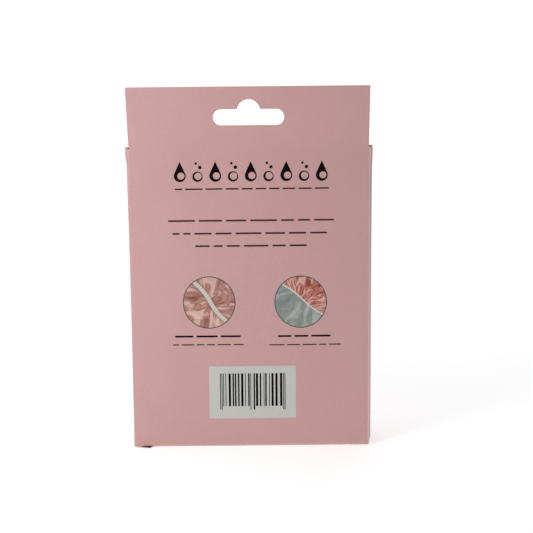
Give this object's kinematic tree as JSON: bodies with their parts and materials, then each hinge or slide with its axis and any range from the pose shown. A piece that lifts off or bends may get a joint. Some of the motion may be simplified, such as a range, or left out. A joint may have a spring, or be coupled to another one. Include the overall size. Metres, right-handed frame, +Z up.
{
  "type": "boxed shower cap",
  "caption": "Hanging folding carton with a euro slot and tuck ends, holding a folded, lined shower cap with a gathered elastic edge.",
  "frame": {"origin": "middle of the carton's footprint, on the surface that it stands on", "axes": "+Z up along the carton's height, -Y out of the printed back with the hang slot, +X to the right when the back is seen"},
  "size_m": [0.1162, 0.0333, 0.165],
  "materials": {
    "printed_board": "matte laminated, dusty pink outside, white inside",
    "satin": "soft satin, coral",
    "lining_film": "soft waterproof film, white",
    "elastic": "ribbed knit, white"
  },
  "bodies": {
    "carton": {"back_panel": "printed_board", "front_panel": "printed_board", "left_side_panel": "printed_board", "right_side_panel": "printed_board", "glue_flap": "printed_board"},
    "top_lid": {"top_lid": "printed_board"},
    "top_tongue": {"top_tongue": "printed_board"},
    "top_left_dust_flap": {"top_left_dust_flap": "printed_board"},
    "top_right_dust_flap": {"top_right_dust_flap": "printed_board"},
    "bottom_lid": {"bottom_lid": "printed_board"},
    "bottom_tongue": {"bottom_tongue": "printed_board"},
    "bottom_left_dust_flap": {"bottom_left_dust_flap": "printed_board"},
    "bottom_right_dust_flap": {"bottom_right_dust_flap": "printed_board"},
    "cap": {"cap_outer_shell": "satin", "cap_lining": "lining_film", "cap_elastic_band": "elastic", "cap_frill": "satin"}
  },
  "joints": [
    {"name": "top_lid_hinge", "type": "hinge", "parent": "carton", "child": "top_lid", "pos_m": [0, 0.015, 0.14], "axis": [-1, 0, 0], "range_deg": [0, 135]},
    {"name": "top_tongue_hinge", "type": "hinge", "parent": "top_lid", "child": "top_tongue", "pos_m": [0, -0.0127, 0.13955], "axis": [1, 0, 0], "range_deg": [0, 46]},
    {"name": "top_left_dust_hinge", "type": "hinge", "parent": "carton", "child": "top_left_dust_flap", "pos_m": [-0.055, 0, 0.13925], "axis": [0, -1, 0], "range_deg": [0, 41]},
    {"name": "top_right_dust_hinge", "type": "hinge", "parent": "carton", "child": "top_right_dust_flap", "pos_m": [0.055, 0, 0.13925], "axis": [0, 1, 0], "range_deg": [0, 41]},
    {"name": "bottom_lid_hinge", "type": "hinge", "parent": "carton", "child": "bottom_lid", "pos_m": [0, -0.015, 0], "axis": [-1, 0, 0], "range_deg": [0, 135]},
    {"name": "bottom_tongue_hinge", "type": "hinge", "parent": "bottom_lid", "child": "bottom_tongue", "pos_m": [0, 0.0127, 0.00045], "axis": [1, 0, 0], "range_deg": [0, 46]},
    {"name": "bottom_left_dust_hinge", "type": "hinge", "parent": "carton", "child": "bottom_left_dust_flap", "pos_m": [-0.055, 0, 0.00075], "axis": [0, 1, 0], "range_deg": [0, 41]},
    {"name": "bottom_right_dust_hinge", "type": "hinge", "parent": "carton", "child": "bottom_right_dust_flap", "pos_m": [0.055, 0, 0.00075], "axis": [0, -1, 0], "range_deg": [0, 41]},
    {"name": "cap_slide", "type": "slide", "parent": "carton", "child": "cap", "axis": [0, 0, 1], "range_m": [0, 0.014]}
  ],
  "couplings": [
    {"joint": "top_tongue_hinge", "follows": "top_lid_hinge", "ratio": 0.3333},
    {"joint": "top_left_dust_hinge", "follows": "top_lid_hinge", "ratio": 0.3},
    {"joint": "top_right_dust_hinge", "follows": "top_lid_hinge", "ratio": 0.3},
    {"joint": "bottom_tongue_hinge", "follows": "bottom_lid_hinge", "ratio": 0.3333},
    {"joint": "bottom_left_dust_hinge", "follows": "bottom_lid_hinge", "ratio": 0.3},
    {"joint": "bottom_right_dust_hinge", "follows": "bottom_lid_hinge", "ratio": 0.3}
  ]
}
